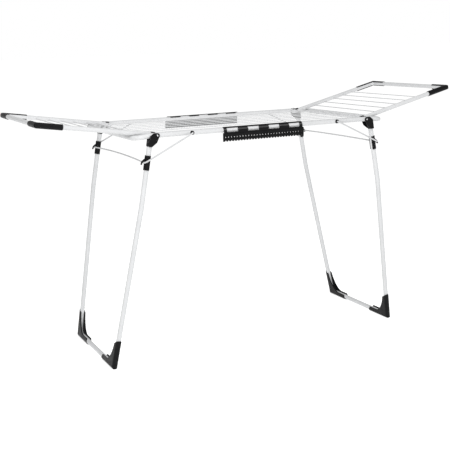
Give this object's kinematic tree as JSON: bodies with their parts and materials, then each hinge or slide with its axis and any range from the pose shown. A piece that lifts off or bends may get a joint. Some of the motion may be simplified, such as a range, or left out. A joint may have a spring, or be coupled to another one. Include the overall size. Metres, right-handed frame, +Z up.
{
  "type": "clothes drying rack",
  "caption": "Folding clothes drying rack with a tube frame, lengthwise lines, two fold-out wings, braced legs and clip-on combs for small items.",
  "frame": {"origin": "on the floor, midway between the two hinge lines and midway between the rails", "axes": "+X along the rack towards the wing that stands higher, +Y across the rack to the back, +Z up"},
  "size_m": [1.8728, 0.6192, 1.0443],
  "materials": {
    "tube_paint": "white powder coat, satin",
    "line_wire": "white plastic-coated steel wire, smooth",
    "brace_wire": "white coated steel wire, smooth",
    "fitting_plastic": "black moulded plastic, fine satin texture",
    "comb_plastic": "black moulded plastic, fine satin texture",
    "rivet": "zinc-plated, bright",
    "sleeve_steel": "plain steel"
  },
  "bodies": {
    "root": {"frame_half_left": "tube_paint", "frame_half_right": "tube_paint", "frame_sleeve_back": "sleeve_steel", "frame_sleeve_front": "sleeve_steel", "drying_line_1": "line_wire", "drying_line_2": "line_wire", "drying_line_3": "line_wire", "drying_line_4": "line_wire", "drying_line_5": "line_wire", "drying_line_6": "line_wire", "drying_line_7": "line_wire", "drying_line_8": "line_wire", "drying_line_9": "line_wire", "comb_back": "comb_plastic", "comb_front": "comb_plastic", "pivot_rivets": "rivet", "brace_bushes": "fitting_plastic"},
    "left_leg": {"leg_tube_left": "tube_paint", "hinge_fork_front_left": "fitting_plastic", "hinge_fork_back_left": "fitting_plastic", "brace_clip_front_left": "fitting_plastic", "brace_clip_back_left": "fitting_plastic", "foot_sheath_front_left": "fitting_plastic", "foot_sheath_back_left": "fitting_plastic"},
    "left_brace": {"brace_wire_left": "brace_wire"},
    "left_wing": {"wing_tube_left": "tube_paint", "wing_pad_front_left": "fitting_plastic", "wing_pad_back_left": "fitting_plastic", "wing_sheath_front_left": "fitting_plastic", "wing_sheath_back_left": "fitting_plastic", "wing_wire_1_left": "line_wire", "wing_wire_2_left": "line_wire", "wing_wire_3_left": "line_wire", "wing_wire_4_left": "line_wire", "wing_wire_5_left": "line_wire", "wing_wire_6_left": "line_wire"},
    "right_leg": {"leg_tube_right": "tube_paint", "hinge_fork_front_right": "fitting_plastic", "hinge_fork_back_right": "fitting_plastic", "brace_clip_front_right": "fitting_plastic", "brace_clip_back_right": "fitting_plastic", "foot_sheath_front_right": "fitting_plastic", "foot_sheath_back_right": "fitting_plastic"},
    "right_brace": {"brace_wire_right": "brace_wire"},
    "right_wing": {"wing_tube_right": "tube_paint", "wing_pad_front_right": "fitting_plastic", "wing_pad_back_right": "fitting_plastic", "wing_sheath_front_right": "fitting_plastic", "wing_sheath_back_right": "fitting_plastic", "wing_wire_1_right": "line_wire", "wing_wire_2_right": "line_wire", "wing_wire_3_right": "line_wire", "wing_wire_4_right": "line_wire", "wing_wire_5_right": "line_wire", "wing_wire_6_right": "line_wire"}
  },
  "joints": [
    {"name": "left_leg_fold", "type": "hinge", "parent": "root", "child": "left_leg", "pos_m": [-0.476, 0, 0.9245], "axis": [0, -1, 0], "range_deg": [0, 99.3]},
    {"name": "left_brace_swing", "type": "hinge", "parent": "root", "child": "left_brace", "pos_m": [-0.33, 0, 0.9245], "axis": [0, -1, 0], "range_deg": [0, 69.6]},
    {"name": "left_wing_fold", "type": "hinge", "parent": "root", "child": "left_wing", "pos_m": [-0.476, 0, 0.9245], "axis": [0, 1, 0], "range_deg": [0, 169.6]},
    {"name": "right_leg_fold", "type": "hinge", "parent": "root", "child": "right_leg", "pos_m": [0.476, 0, 0.9245], "axis": [0, 1, 0], "range_deg": [0, 96]},
    {"name": "right_brace_swing", "type": "hinge", "parent": "root", "child": "right_brace", "pos_m": [0.33, 0, 0.9245], "axis": [0, 1, 0], "range_deg": [0, 69.6]},
    {"name": "right_wing_fold", "type": "hinge", "parent": "root", "child": "right_wing", "pos_m": [0.476, 0, 0.9245], "axis": [0, -1, 0], "range_deg": [-5, 164.5]}
  ],
  "couplings": [
    {"joint": "left_brace_swing", "follows": "left_leg_fold", "ratio": 0.7},
    {"joint": "right_brace_swing", "follows": "right_leg_fold", "ratio": 0.7}
  ]
}
